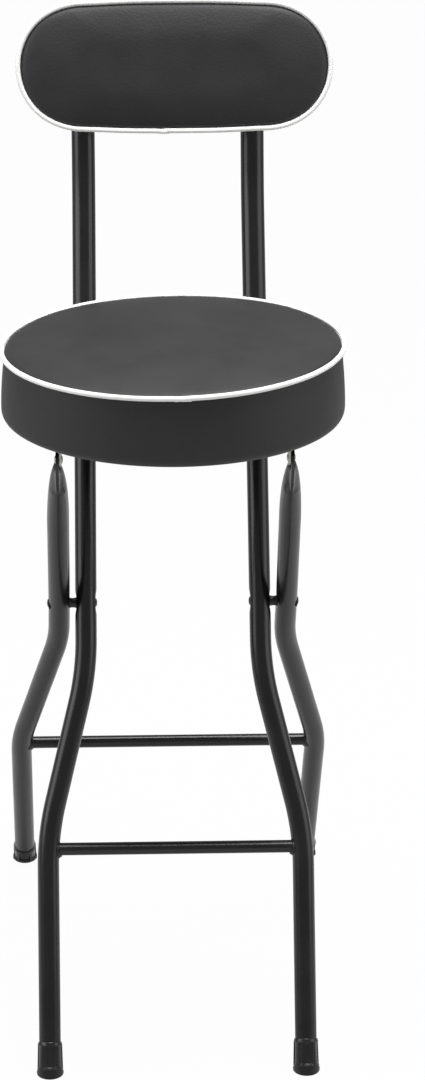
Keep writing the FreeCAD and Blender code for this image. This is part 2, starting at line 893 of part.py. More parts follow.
def make_all():
    nodes = {}
    for side, name in ((-1, "left"), (1, "right")):
        nodes["front_leg_" + name] = make_front_leg(side)
        nodes["back_post_" + name] = make_back_post(side)
        nodes["rear_leg_" + name] = make_rear_leg(side)
        nodes["front_foot_" + name] = make_foot(side, front_foot_half, front_lean, front_up)
        nodes["rear_foot_" + name] = make_foot(side, rear_foot_half, rear_lean, rear_up)
        nodes["pivot_rivet_" + name] = make_pivot_rivet(side)
        nodes["pivot_spacer_" + name] = make_pivot_spacer(side)
        nodes["hinge_bracket_" + name] = make_hinge_bracket(side)
        nodes["hinge_rivet_" + name] = make_hinge_rivet(side)
        nodes["seat_hook_" + name] = make_seat_hook(side)
    tops = front_leg_top
    front_rods = [rod(front_leg_points(side, tops), leg_radius, front_bend_radius) for side in (-1, 1)]
    rear_rods = [rod(rear_leg_points(side, 0), leg_radius, rear_bend_radius) for side in (-1, 1)]
    nodes["front_stretcher"] = make_stretcher(front_point, front_foot_half, -front_stretcher_down, front_rods)
    nodes["rear_stretcher"] = make_stretcher(rear_point, rear_foot_half, -rear_stretcher_down, rear_rods)
    nodes["seat_rest_bar"] = make_stretcher(front_point, front_half(rest_bar_up), rest_bar_up, front_rods)
    nodes["post_joint_screws"] = make_joint_screws()
    nodes["post_plugs"] = make_post_plugs()
    nodes["pivot_washers"] = make_pivot_washers()
    nodes["seat_cushion"] = make_seat_cushion()
    nodes["seat_piping"] = seat_ring(piping_radius)
    nodes["seat_board"] = make_seat_board()
    nodes["seat_under_cloth"] = make_under_cloth()
    nodes["hinge_washers"] = make_hinge_washers()
    nodes["hinge_bracket_screws"] = make_hinge_screws()
    nodes["hook_screws"] = make_hook_screws()
    nodes["backrest_cushion"] = make_back_cushion()
    nodes["backrest_piping"] = make_back_piping()
    nodes["backrest_board"] = make_back_board()
    nodes["backrest_rear_cover"] = make_back_cover()
    nodes["backrest_nuts"] = make_back_nuts()
    nodes["backrest_bolts"] = make_back_bolts()
    return nodes


def export(nodes):
    """Moves the stool so that its origin is at the middle of its base, and writes it."""
    whole = Part.Compound(list(nodes.values())).optimalBoundingBox(False, False)
    shift = at(-whole.Center.x, -whole.Center.y, -whole.ZMin)
    for name, shape in nodes.items():
        shape.translate(shift)
        shape.exportStep("parts/" + name + ".step")
        print(name, len(shape.Solids), round(shape.Volume, 1), shape.isValid())
    stop = math.asin((leg_radius + stretcher_radius) / rear_stretcher_down)
    print("size", round(whole.XLength, 2), round(whole.YLength, 2), round(whole.ZLength, 2))
    print("pivot", pivot_at(0, 0) + shift, "hinge", hinge_point(1, 0) + shift)
    print("legs meet at", round(math.degrees(front_lean + rear_lean - stop), 2), "degrees")


export(make_all())
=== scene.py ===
import bpy, bmesh
from math import atan2, copysign, cos, degrees, hypot, pi, radians, sin, sqrt, tan
from mathutils import Matrix, Vector


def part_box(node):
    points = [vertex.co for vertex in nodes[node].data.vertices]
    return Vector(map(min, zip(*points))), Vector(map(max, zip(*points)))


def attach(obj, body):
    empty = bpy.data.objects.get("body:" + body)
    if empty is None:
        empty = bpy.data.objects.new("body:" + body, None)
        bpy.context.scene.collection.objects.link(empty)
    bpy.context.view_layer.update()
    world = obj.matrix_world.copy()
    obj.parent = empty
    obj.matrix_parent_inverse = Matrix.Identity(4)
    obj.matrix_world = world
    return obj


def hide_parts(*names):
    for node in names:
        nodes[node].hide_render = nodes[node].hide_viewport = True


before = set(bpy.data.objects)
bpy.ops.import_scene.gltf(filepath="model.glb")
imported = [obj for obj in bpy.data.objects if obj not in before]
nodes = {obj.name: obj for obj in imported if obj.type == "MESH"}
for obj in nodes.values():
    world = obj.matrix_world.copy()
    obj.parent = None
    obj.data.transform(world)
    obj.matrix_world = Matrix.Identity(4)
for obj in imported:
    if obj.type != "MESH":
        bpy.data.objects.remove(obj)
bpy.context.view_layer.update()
bpy.context.scene.view_settings.view_transform = "Standard"
mm = 0.001

# Places, leans and radii that several pieces share, in metres: the leg pivot, the tubes and the seat
stool = {
    "pivotY": -44.44654 * mm, "pivotZ": 434.5 * mm,
    "frontLean": radians(24.7), "rearLean": radians(35.07), "backLean": radians(14.0),
    "tubeRadius": 11.0 * mm, "postRadius": 12.0 * mm, "barRadius": 6.5 * mm,
    "seatY": -106.44654 * mm, "seatZ": 730.0 * mm, "seatRadius": 168.5 * mm, "pipingRadius": 2.5 * mm,
}


def addNode(tree, kind, inputs=None, **settings):
    node = tree.nodes.new(kind)
    for key, value in settings.items():
        setattr(node, key, value)
    for key, value in (inputs or {}).items():
        if isinstance(value, bpy.types.NodeSocket):
            tree.links.new(value, node.inputs[key])
        else:
            node.inputs[key].default_value = value
    return node


def linear(hexColour):  # sRGB hex to linear
    parts = [int(hexColour[i:i + 2], 16) / 255 for i in (1, 3, 5)]
    return [c / 12.92 if c <= 0.04045 else ((c + 0.055) / 1.055) ** 2.4 for c in parts] + [1.0]


def startMaterial(name):
    material = bpy.data.materials.new(name)
    material.use_nodes = True
    tree = material.node_tree
    tree.nodes.clear()
    place = addNode(tree, "ShaderNodeTexCoord").outputs["Object"]
    return material, tree, place


def endMaterial(tree, shader):
    addNode(tree, "ShaderNodeOutputMaterial", {"Surface": shader.outputs[0]})


noiseRange = (0.3, 0.7)  # most of a noise texture's values lie between these


def wander(tree, factor, look):  # colour, and roughness where it has two limits, follow the noise
    ramp = addNode(tree, "ShaderNodeValToRGB", {"Fac": factor})
    for stop, colour, position in zip(ramp.color_ramp.elements, look["colours"], noiseRange):
        stop.color = linear(colour)
        stop.position = position
    rough = look["rough"]
    if isinstance(rough, tuple):
        rough = addNode(tree, "ShaderNodeMapRange", {
            "Value": factor, "From Min": noiseRange[0], "From Max": noiseRange[1],
            "To Min": rough[0], "To Max": rough[1]}).outputs["Result"]
    return {"Base Color": ramp.outputs["Color"], "Roughness": rough}


# Embossed vinyl: a soft black sheet pressed with a leather grain of small rounded cells, which breaks up its dull shine
vinylLook = {"colours": ("#171718", "#1e1e1f"), "rough": (0.51, 0.59), "patch": 60 * mm,
             "grain": 2.4 * mm, "depth": 0.24 * mm, "strength": 0.55, "warp": 1.4 * mm, "warpSize": 9 * mm}


def makeVinyl(name, look):
    material, tree, place = startMaterial(name)
    warp = addNode(tree, "ShaderNodeTexNoise", {"Vector": place, "Scale": 1 / look["warpSize"], "Detail": 2.0})
    bent = addNode(tree, "ShaderNodeVectorMath", {0: warp.outputs["Color"], 1: (look["warp"],) * 3},
                   operation="MULTIPLY")
    moved = addNode(tree, "ShaderNodeVectorMath", {0: place, 1: bent.outputs[0]}, operation="ADD")
    cells = addNode(tree, "ShaderNodeTexVoronoi", {"Vector": moved.outputs[0], "Scale": 1 / look["grain"]},
                    feature="SMOOTH_F1")
    broad = addNode(tree, "ShaderNodeTexNoise", {"Vector": place, "Scale": 1 / look["patch"], "Detail": 3.0})
    bump = addNode(tree, "ShaderNodeBump", {"Height": cells.outputs["Distance"], "Strength": look["strength"],
                                            "Distance": look["depth"]}, invert=True)
    shader = addNode(tree, "ShaderNodeBsdfPrincipled", {
        **wander(tree, broad.outputs["Fac"], look), "Normal": bump.outputs["Normal"], "IOR": 1.5})
    endMaterial(tree, shader)
    return material


# Powder coat: baked polyester on steel, which is glossy, with the lamps' streaks a little unsteady in its orange peel
coatLook = {"colours": ("#0b0b0c", "#111112"), "rough": (0.20, 0.29), "patch": 45 * mm,
            "peel": 3.0 * mm, "depth": 0.06 * mm, "strength": 0.25}


def makeCoat(name, look):
    material, tree, place = startMaterial(name)
    peel = addNode(tree, "ShaderNodeTexNoise", {"Vector": place, "Scale": 1 / look["peel"], "Detail": 2.0})
    broad = addNode(tree, "ShaderNodeTexNoise", {"Vector": place, "Scale": 1 / look["patch"], "Detail": 4.0})
    bump = addNode(tree, "ShaderNodeBump", {"Height": peel.outputs["Fac"], "Strength": look["strength"],
                                            "Distance": look["depth"]})
    shader = addNode(tree, "ShaderNodeBsdfPrincipled", {
        **wander(tree, broad.outputs["Fac"], look), "Normal": bump.outputs["Normal"], "IOR": 1.5})
    endMaterial(tree, shader)
    return material


# Plain finishes: the size and depth are those of the surface's fine texture
plainLooks = {
    # extruded cord, near white, with a satin skin
    "pipingVinyl": {"colours": ("#ebebe9", "#f0f0ee"), "rough": (0.37, 0.47), "metal": 0.0,
                    "size": 4 * mm, "depth": 0.03 * mm},
    # moulded in a polished tool, so the panels' lips catch thin lights
    "footRubber": {"colours": ("#121213", "#18181a"), "rough": (0.17, 0.27), "metal": 0.0,
                   "size": 1.6 * mm, "depth": 0.06 * mm},
    # moulded spacers, washers and plugs, smooth with a soft shine
    "mouldedNylon": {"colours": ("#0e0e0f", "#151516"), "rough": (0.40, 0.50), "metal": 0.0,
                     "size": 2 * mm, "depth": 0.03 * mm},
    # formed sheet behind the backrest, etched dull and grainy
    "grainedPlastic": {"colours": ("#121213", "#191919"), "rough": (0.57, 0.67), "metal": 0.0,
                       "size": 1.2 * mm, "depth": 0.12 * mm},
    # plated steel, light grey and softly mirrored
    "zincPlate": {"colours": ("#a3a39c", "#bfbfb8"), "rough": (0.29, 0.39), "metal": 1.0,
                  "size": 3 * mm, "depth": 0.02 * mm},
    # pressed fibres, quite matt
    "nonWovenCloth": {"colours": ("#131313", "#1e1e1e"), "rough": (0.90, 1.00), "metal": 0.0,
                      "size": 1.5 * mm, "depth": 0.25 * mm},
    # sprayed on rivets, screws and hooks, duller than the coat
    "blackPaint": {"colours": ("#0c0c0d", "#141415"), "rough": (0.31, 0.41), "metal": 0.0,
                   "size": 2.5 * mm, "depth": 0.04 * mm},
}
plainPatch = 30 * mm
plainStrength = 0.6


def makePlain(name, look):
    material, tree, place = startMaterial(name)
    fine = addNode(tree, "ShaderNodeTexNoise", {"Vector": place, "Scale": 1 / look["size"], "Detail": 3.0})
    broad = addNode(tree, "ShaderNodeTexNoise", {"Vector": place, "Scale": 1 / plainPatch, "Detail": 3.0})
    bump = addNode(tree, "ShaderNodeBump", {"Height": fine.outputs["Fac"], "Strength": plainStrength,
                                            "Distance": look["depth"]})
    shader = addNode(tree, "ShaderNodeBsdfPrincipled", {
        **wander(tree, broad.outputs["Fac"], look), "Metallic": look["metal"], "Normal": bump.outputs["Normal"]})
    endMaterial(tree, shader)
    return material


# Birch plywood: pale faces with long fine grain, seen only where a board's edge shows
plywoodLook = {"colours": ("#a98555", "#c9a877"), "rough": 0.7, "grain": 25 * mm, "stretch": (1.0, 12.0, 12.0),
               "depth": 0.1 * mm, "strength": 0.3}


def makePlywood(name, look):
    material, tree, place = startMaterial(name)
    stretched = addNode(tree, "ShaderNodeMapping", {"Vector": place, "Scale": look["stretch"]})
    grain = addNode(tree, "ShaderNodeTexNoise", {
        "Vector": stretched.outputs[0], "Scale": 1 / look["grain"], "Detail": 6.0})
    bump = addNode(tree, "ShaderNodeBump", {"Height": grain.outputs["Fac"], "Strength": look["strength"],
                                            "Distance": look["depth"]})
    shader = addNode(tree, "ShaderNodeBsdfPrincipled", {
        **wander(tree, grain.outputs["Fac"], look), "Normal": bump.outputs["Normal"]})
    endMaterial(tree, shader)
    return material


seatVinyl = makeVinyl("embossedVinyl", vinylLook)
powderCoat = makeCoat("powderCoat", coatLook)
finishes = {name: makePlain(name, look) for name, look in plainLooks.items()}
finishes["plywood"] = makePlywood("plywood", plywoodLook)
print("materials made")


def startGeometryTree(name, numbers):
    tree = bpy.data.node_groups.new(name, "GeometryNodeTree")
    tree.interface.new_socket("Geometry", in_out="INPUT", socket_type="NodeSocketGeometry")
    for label, value in numbers.items():
        kind = "NodeSocketInt" if isinstance(value, int) else "NodeSocketFloat"
        tree.interface.new_socket(label, in_out="INPUT", socket_type=kind).default_value = value
    tree.interface.new_socket("Finish", in_out="INPUT", socket_type="NodeSocketMaterial")
    tree.interface.new_socket("Geometry", in_out="OUTPUT", socket_type="NodeSocketGeometry")
    return tree, addNode(tree, "NodeGroupInput").outputs


def endGeometryTree(tree, geometry, finish):
    real = addNode(tree, "GeometryNodeRealizeInstances", {"Geometry": geometry})
    coated = addNode(tree, "GeometryNodeSetMaterial", {"Geometry": real.outputs[0], "Material": finish})
    addNode(tree, "NodeGroupOutput", {"Geometry": coated.outputs[0]})


def makeTubeTree():  # a round bar along each line of points it is given
    tree, given = startGeometryTree("tubeAlongPath", {"Radius": 0.01, "Sides": 40})
    path = addNode(tree, "GeometryNodeMeshToCurve", {"Mesh": given["Geometry"]})
    ring = addNode(tree, "GeometryNodeCurvePrimitiveCircle", {"Resolution": given["Sides"], "Radius": given["Radius"]})
    tube = addNode(tree, "GeometryNodeCurveToMesh", {
        "Curve": path.outputs[0], "Profile Curve": ring.outputs[0], "Fill Caps": True})
    endGeometryTree(tree, tube.outputs[0], given["Finish"])
    return tree


headSides = {"round": 32, "up": 24}


def makeHeadTree():  # a domed head on each point, turned to its facing
    tree, given = startGeometryTree("domedHeads", {"Head Radius": 0.005, "Head Height": 0.002})
    ball = addNode(tree, "GeometryNodeMeshUVSphere", {
        "Segments": headSides["round"], "Rings": headSides["up"], "Radius": 1.0})
    height = addNode(tree, "ShaderNodeSeparateXYZ", {0: addNode(tree, "GeometryNodeInputPosition").outputs[0]})
    under = addNode(tree, "FunctionNodeCompare", {0: height.outputs["Z"], 1: -0.001}, operation="LESS_THAN")
    cap = addNode(tree, "GeometryNodeDeleteGeometry", {"Geometry": ball.outputs[0], "Selection": under.outputs[0]})
    disc = addNode(tree, "GeometryNodeMeshCircle", {"Vertices": headSides["round"], "Radius": 1.0}, fill_type="NGON")
    turned = addNode(tree, "GeometryNodeTransform", {"Geometry": disc.outputs[0], "Rotation": (pi, 0, 0)})
    both = addNode(tree, "GeometryNodeJoinGeometry")
    tree.links.new(cap.outputs[0], both.inputs[0])
    tree.links.new(turned.outputs[0], both.inputs[0])
    closed = addNode(tree, "GeometryNodeMergeByDistance", {"Geometry": both.outputs[0], "Distance": 0.01})
    size = addNode(tree, "ShaderNodeCombineXYZ", {
        "X": given["Head Radius"], "Y": given["Head Radius"], "Z": given["Head Height"]})
    facing = addNode(tree, "GeometryNodeInputNamedAttribute", {"Name": "facing"}, data_type="FLOAT_VECTOR")
    turn = addNode(tree, "FunctionNodeAlignRotationToVector", {"Vector": facing.outputs[0]}, axis="Z")
    heads = addNode(tree, "GeometryNodeInstanceOnPoints", {
        "Points": given["Geometry"], "Instance": closed.outputs[0],
        "Rotation": turn.outputs[0], "Scale": size.outputs[0]})
    endGeometryTree(tree, heads.outputs[0], given["Finish"])
    return tree


tubeTree = makeTubeTree()
headTree = makeHeadTree()


def meshFrom(name, points, edges=(), faces=()):
    mesh = bpy.data.meshes.new(name)
    mesh.from_pydata([tuple(p) for p in points], list(edges), list(faces))
    mesh.update()
    thing = bpy.data.objects.new(name, mesh)
    bpy.context.scene.collection.objects.link(thing)
    return thing


def grow(thing, tree, settings, finish):  # runs a tree on a mesh and keeps the plain result
    modifier = thing.modifiers.new("grow", "NODES")
    modifier.node_group = tree
    for item in tree.interface.items_tree:
        if item.in_out == "INPUT" and item.name in settings:
            modifier[item.identifier] = settings[item.name]
        if item.in_out == "INPUT" and item.name == "Finish":
            modifier[item.identifier] = finish
    bpy.context.view_layer.update()
    grown = bpy.data.meshes.new_from_object(thing.evaluated_get(bpy.context.evaluated_depsgraph_get()))
    thing.modifiers.remove(modifier)
    thing.data = grown
    smooth(thing)
    return thing


def smooth(thing, sharpAngle=38):  # smooth faces, with sharp edges where they turn by more than the angle
    work = bmesh.new()
    work.from_mesh(thing.data)
    for face in work.faces:
        face.smooth = True
    for edge in work.edges:
        edge.smooth = len(edge.link_faces) != 2 or degrees(edge.calc_face_angle(0)) < sharpAngle
    work.to_mesh(thing.data)
    work.free()
    return thing


def fresh(thing):  # merged doubles and outward faces
    work = bmesh.new()
    work.from_mesh(thing.data)
    bmesh.ops.remove_doubles(work, verts=work.verts, dist=0.01 * mm)
    bmesh.ops.recalc_face_normals(work, faces=work.faces)
    work.to_mesh(thing.data)
    work.free()
    return thing


def join(things, name):
    bpy.ops.object.select_all(action="DESELECT")
    for thing in things:
        thing.select_set(True)
    bpy.context.view_layer.objects.active = things[0]
    bpy.ops.object.join()
    things[0].name = name
    return things[0]


# Directions along the tubes, and the point between the two pivot rivets
frontUp = Vector((0, sin(stool["frontLean"]), cos(stool["frontLean"])))
rearUp = Vector((0, -sin(stool["rearLean"]), cos(stool["rearLean"])))
rearFore = Vector((0, rearUp.z, -rearUp.y))
backUp = Vector((0, sin(stool["backLean"]), cos(stool["backLean"])))
backOut = Vector((0, -cos(stool["backLean"]), sin(stool["backLean"])))
pivot = Vector((0, stool["pivotY"], stool["pivotZ"]))

# Millimetres from the middle (half, foot) and along the leg from the pivot (upper, lower, top, hinge)
frontLegs = {"half": 89.4, "taper": 0.0047, "upper": 70.7, "lower": 237.1, "foot": 130.4, "bend": 280.0,
             "top": 345.0, "sides": 40}
rearLegs = {"half": 116.8, "taper": 0.0103, "upper": 64.5, "lower": 268.1, "foot": 160.3, "bend": 257.0,
            "aside": 0.0125, "sides": 64, "fineStep": 1.2, "sharp": 30,
            "flatStart": 150.0, "flatLength": 93.5, "hinge": 252.3, "bladeHalf": 13.5, "bladeThick": 2.8,
            "pinchStart": 0.62, "ridgePace": 3.0, "lensPace": 1.3, "lensPower": 3.6}
tubeEnd = 3.0  # a leg's tube ends this far above its sole


def standAside(thing):  # below its pivots the rear frame stands a few millimetres to one side, by their play
    for vertex in thing.data.vertices:
        vertex.co.x -= max(0.0, pivot.z - vertex.co.z) * rearLegs["aside"]
    thing.data.update()


def onLeg(direction, side, half, up):  # millimetres along the leg from the pivot
    return pivot + direction * (up * mm) + Vector((side * half * mm, 0, 0))


def legCorners(leg, direction, lean, side, top):
    end = -stool["pivotZ"] / mm / cos(lean) + stool["tubeRadius"] / mm * tan(lean) + tubeEnd
    return [onLeg(direction, side, leg["half"] - leg["taper"] * top, top),
            onLeg(direction, side, leg["half"] + leg["taper"] * leg["upper"], -leg["upper"]),
            onLeg(direction, side, leg["foot"], -leg["lower"]),
            onLeg(direction, side, leg["foot"], end)]


pathStep = 2.0 * mm


def bentPath(corners, bend, fineEnd=0.0):  # points along straight runs joined by arcs
    runs, start = [], corners[0]
    for before, corner, after in zip(corners, corners[1:], corners[2:]):
        into, out = (corner - before).normalized(), (after - corner).normalized()
        turn = into.angle(out)
        reach = bend * tan(turn / 2)
        first = corner - into * reach
        normal = into.cross(out).normalized()
        centre = first + normal.cross(into) * bend
        runs.append((start, first, None))
        runs.append((first, corner + out * reach, (centre, normal, turn)))
        start = corner + out * reach
    runs.append((start, corners[-1], None))
    points = []
    for first, last, arc in runs:
        length = (last - first).length
        pace = fineEnd if fineEnd and not points else pathStep
        count = max(2, int(length / pace))
        for index in range(count):
            share = index / count
            if arc:
                centre, normal, turn = arc
                points.append(centre + Matrix.Rotation(turn * share, 3, normal) @ (first - centre))
            else:
                points.append(first.lerp(last, share))
    return points + [corners[-1]]


def tube(name, points, radius, sides, finish=None, closed=False):
    edges = [(i, i + 1) for i in range(len(points) - 1)] + ([(len(points) - 1, 0)] if closed else [])
    thing = meshFrom(name, points, edges)
    return grow(thing, tubeTree, {"Radius": radius, "Sides": sides}, finish or powderCoat)


pivotFlats = {"reach": 16.0 * mm, "radius": 6.5 * mm, "blend": 7.5 * mm, "depth": 1.0 * mm, "rise": 1.1}


def pressFlats(thing, half, side):  # the dimples where the pivot rivet passes
    depth = pivotFlats["depth"]
    centre = side * half * mm
    for vertex in thing.data.vertices:
        away = hypot(vertex.co.y - pivot.y, vertex.co.z - pivot.z)
        if away > pivotFlats["reach"]:
            continue
        share = min(1, max(0, (away - pivotFlats["radius"]) / pivotFlats["blend"]))
        limit = stool["tubeRadius"] - depth + depth * pivotFlats["rise"] * share * share * (3 - 2 * share)
        offset = vertex.co.x - centre
        if abs(offset) > limit:
            vertex.co.x = centre + copysign(limit, offset)
    thing.data.update()


def makeFrontLegs():
    for side, word in ((-1, "left"), (1, "right")):
        corners = legCorners(frontLegs, frontUp, stool["frontLean"], side, frontLegs["top"])
        points = bentPath(corners, frontLegs["bend"] * mm)
        leg = tube("frontLeg_" + word, points, stool["tubeRadius"], frontLegs["sides"])
        pressFlats(leg, frontLegs["half"], side)
        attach(leg, "front_frame")
        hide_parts("front_leg_" + word)


def flattenTop(thing, side):  # the rear leg's top, pressed along a bullet shape from a round tube to a blade
    leg = rearLegs
    radius, flat = stool["tubeRadius"], leg["bladeThick"] / 2 * mm
    axisX = side * (leg["half"] - leg["taper"] * leg["hinge"]) * mm
    for vertex in thing.data.vertices:
        offset = vertex.co - pivot
        up = offset.dot(rearUp) / mm
        if up < leg["flatStart"]:
            continue
        centre = side * (leg["half"] - leg["taper"] * up) * mm
        across = vertex.co.x - centre
        fore = offset.dot(rearFore)
        share = min(1, (up - leg["flatStart"]) / leg["flatLength"])
        middle = flat + (radius - flat) * sqrt(1 - share * share)
        pinched = max(0, share - leg["pinchStart"]) / (1 - leg["pinchStart"])
        ridge = flat * min(1, pinched * leg["ridgePace"])
        lens = sin(atan2(abs(across), fore)) ** (1 + leg["lensPower"] * min(1, pinched * leg["lensPace"]))
        if abs(across) > 0.02 * mm:
            across = copysign(ridge + (middle - ridge) * lens, across)
        wantedFore = fore * (1 + (leg["bladeHalf"] * mm / radius - 1) * share)
        if up > leg["hinge"]:
            past = (up - leg["hinge"]) / leg["bladeHalf"]
            wantedFore *= sqrt(max(0.0, 1 - past * past))
        vertex.co += rearFore * (wantedFore - fore)
        vertex.co.x = centre + (axisX - centre) * share + across
    thing.data.update()


def makeRearLegs():
    for side, word in ((-1, "left"), (1, "right")):
        corners = legCorners(rearLegs, rearUp, stool["rearLean"], side, rearLegs["hinge"] + rearLegs["bladeHalf"])
        points = bentPath(corners, rearLegs["bend"] * mm, fineEnd=rearLegs["fineStep"] * mm)
        leg = tube("rearLeg_" + word, points, stool["tubeRadius"], rearLegs["sides"])
        pressFlats(leg, rearLegs["half"], side)
        flattenTop(leg, side)
        standAside(leg)
        smooth(fresh(leg), rearLegs["sharp"])
        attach(leg, "rear_frame")
        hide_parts("rear_leg_" + word)


posts = {"bendZ": 820.0, "bend": 250.0, "topZ": 1000.0, "bottom": 295.0, "sides": 44}


def postCorners(side):
    up = (posts["bendZ"] * mm - stool["pivotZ"]) / cos(stool["frontLean"]) / mm
    bend = onLeg(frontUp, side, frontLegs["half"] - frontLegs["taper"] * up, up)
    top = bend + backUp * ((posts["topZ"] - posts["bendZ"]) * mm / cos(stool["backLean"]))
    bottom = onLeg(frontUp, side, frontLegs["half"] - frontLegs["taper"] * posts["bottom"], posts["bottom"])
    return [bottom, bend, top]


def makePosts():
    for side, word in ((-1, "left"), (1, "right")):
        points = bentPath(postCorners(side), posts["bend"] * mm)
        post = tube("backPost_" + word, points, stool["postRadius"], posts["sides"])
        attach(post, "front_frame")
        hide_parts("back_post_" + word)


bars = {"frontDown": 252.0, "rearDown": 276.0, "restUp": 236.0, "inset": 4.0, "steps": 60, "sides": 36}
# Each weld is two rings: how far out along the bar, how much wider than it, and how thick
welds = {"rings": ((0.2, 0.0, 1.8), (2.0, -0.6, 1.2)), "sag": 1.1, "steps": 48, "sides": 12}


def weldBead(name, centre, side, legAxis):
    rings = []
    count = welds["steps"]
    legAxis = legAxis.normalized()
    for out, wider, thick in welds["rings"]:
        points = []
        for index in range(count):
            angle = 2 * pi * index / count
            reach = stool["barRadius"] + (wider - welds["sag"] * sin(angle)) * mm
            spoke = Vector((0, cos(angle), sin(angle))) * reach
            beside = spoke - legAxis * spoke.dot(legAxis)
            inward = sqrt(max(0.0, stool["tubeRadius"] ** 2 - beside.length_squared)) + out * mm
            points.append(centre + spoke - Vector((side * inward, 0, 0)))
        rings.append(tube(name, points, thick * mm, welds["sides"], closed=True))
    return join(rings, name)


def legHalfAt(leg, down):  # the bent leg's distance from the middle, down from the pivot
    topHalf = leg["half"] + leg["taper"] * leg["upper"]
    share = min(1, max(0, (down - leg["upper"]) / (leg["lower"] - leg["upper"])))
    return topHalf + (leg["foot"] - topHalf) * share


def makeBars():
    plans = (
        ("frontStretcher", frontUp, -bars["frontDown"], frontLegs, "front_frame", "front_stretcher"),
        ("rearStretcher", rearUp, -bars["rearDown"], rearLegs, "rear_frame", "rear_stretcher"),
        ("seatRestBar", frontUp, bars["restUp"], frontLegs, "front_frame", "seat_rest_bar"),
    )
    for name, direction, up, leg, body, node in plans:
        half = leg["half"] - leg["taper"] * up if up > 0 else legHalfAt(leg, -up)
        ends = [onLeg(direction, side, half - bars["inset"], up) for side in (-1, 1)]
        points = [ends[0].lerp(ends[1], i / bars["steps"]) for i in range(bars["steps"] + 1)]
        pieces = [tube(name, points, stool["barRadius"], bars["sides"])]
        for side in (-1, 1):
            pieces.append(weldBead(name + "Bead", onLeg(direction, side, half, up), side, direction))
        bar = join(pieces, name)
        if body == "rear_frame":
            standAside(bar)
        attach(bar, body)
        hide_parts(node)


makeFrontLegs()
makeRearLegs()
makePosts()
makeBars()
print("tubes made")


# Heights are along the leg from the middle of the sole; the panels are sunk between raised lips
feet = {"radius": 13.1, "topRadius": 12.2, "length": 31.0, "segments": 240, "sharp": 42,
        "flange": 13.7, "flangeTop": 2.5, "flangeRows": (-0.8, -0.15, 0.05, 0.8),
        "rim": 11.6, "chamfer": 2.0, "chamferRows": 5, "boreLess": 0.2, "boreDeep": 6.0, "boreRise": 0.1,
        "panels": 5, "panelHalf": radians(31.0), "panelDepth": 1.3, "panelLow": 4.6, "panelHigh": 27.6,
        "lip": 1.15, "lipHigh": 0.45, "soleClear": 3.4, "rowGap": 0.42, "rows": 58,
        "spare": 3.0, "edge": 1.8, "edgeRows": 4}


def insidePanel(height, angle, sole):  # how far a spot lies within the outline of the nearest moulded panel
    pitch = 2 * pi / feet["panels"]
    turned = (angle + pi / 2 + pitch / 2) % pitch - pitch / 2
    across = (feet["panelHalf"] - abs(turned)) * feet["radius"]
    low = max(feet["panelLow"], sole + feet["soleClear"])
    return min(across, height - low, feet["panelHigh"] - height)


def footRadius(height, angle, sole):
    share = max(0.0, height / feet["length"])
    radius = feet["radius"] + (feet["topRadius"] - feet["radius"]) * share
    if height < feet["flangeTop"]:
        radius = feet["flange"]
    if height > feet["length"] - feet["chamfer"]:
        share = (height - feet["length"] + feet["chamfer"]) / feet["chamfer"]
        radius += (feet["rim"] - radius) * share ** 2
    within = insidePanel(height, angle, sole) / feet["lip"]
    radius += feet["lipHigh"] * max(0.0, 1 - within * within)
    return radius - feet["panelDepth"] * min(1.0, max(0.0, within))


def makeFoot(name, side, half, lean, direction, body, node):  # a lathed cap, cut level with the floor
    length, count = feet["length"], feet["segments"]
    heights = [-feet["flange"] * tan(lean) - feet["spare"]] + [feet["flangeTop"] + gap for gap in feet["flangeRows"]]
    heights += [feet["panelLow"] - feet["lip"] + feet["rowGap"] * (i + 1) for i in range(feet["rows"])]
    heights += [length - feet["chamfer"] * (1 - i / feet["chamferRows"]) for i in range(feet["chamferRows"] + 1)]
    bore = stool["tubeRadius"] / mm - feet["boreLess"]
    turn = Vector((0, 0, 1)).rotation_difference(direction).to_matrix()
    spot = onLeg(direction, side, half, -stool["pivotZ"] / mm / cos(lean))
    floorUp = turn.transposed() @ Vector((0, 0, 1))
    angles = [2 * pi * i / count for i in range(count)]
    soles = [-feet["radius"] * (floorUp.x * cos(a) + floorUp.y * sin(a)) / floorUp.z for a in angles]
    rows = [[(footRadius(h, a, sole), a, h) for a, sole in zip(angles, soles)] for h in heights]
    rows += [[(bore, a, h) for a in angles] for h in (length + feet["boreRise"], length - feet["boreDeep"])]
    points = [spot + turn @ Vector((r * cos(a) * mm, r * sin(a) * mm, h * mm)) for row in rows for r, a, h in row]
    faces = []
    for low in range(len(rows) - 1):
        for i in range(count):
            j = (i + 1) % count
            faces.append((low * count + i, low * count + j, (low + 1) * count + j, (low + 1) * count + i))
    faces.append(tuple(reversed(range(count))))
    faces.append(tuple(range((len(rows) - 1) * count, len(rows) * count)))
    foot = meshFrom(name, points, (), faces)
    work = bmesh.new()
    work.from_mesh(foot.data)
    everything = list(work.verts) + list(work.edges) + list(work.faces)
    bmesh.ops.bisect_plane(work, geom=everything, plane_co=(0, 0, 0), plane_no=(0, 0, 1), clear_inner=True)
    rim = [edge for edge in work.edges if edge.is_boundary]
    bmesh.ops.holes_fill(work, edges=rim, sides=0)
    level = [edge for edge in work.edges if all(abs(v.co.z) < 0.001 * mm for v in edge.verts)]
    sole = [edge for edge in level if len(edge.link_faces) == 2]
    bmesh.ops.bevel(work, geom=sole, offset=feet["edge"] * mm, segments=feet["edgeRows"], profile=0.5,
                    affect="EDGES", clamp_overlap=True)
    bmesh.ops.recalc_face_normals(work, faces=work.faces)
    work.to_mesh(foot.data)
    work.free()
    if body == "rear_frame":
        standAside(foot)
    foot.data.materials.append(finishes["footRubber"])
    smooth(foot, feet["sharp"])
    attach(foot, body)
    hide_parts(node)


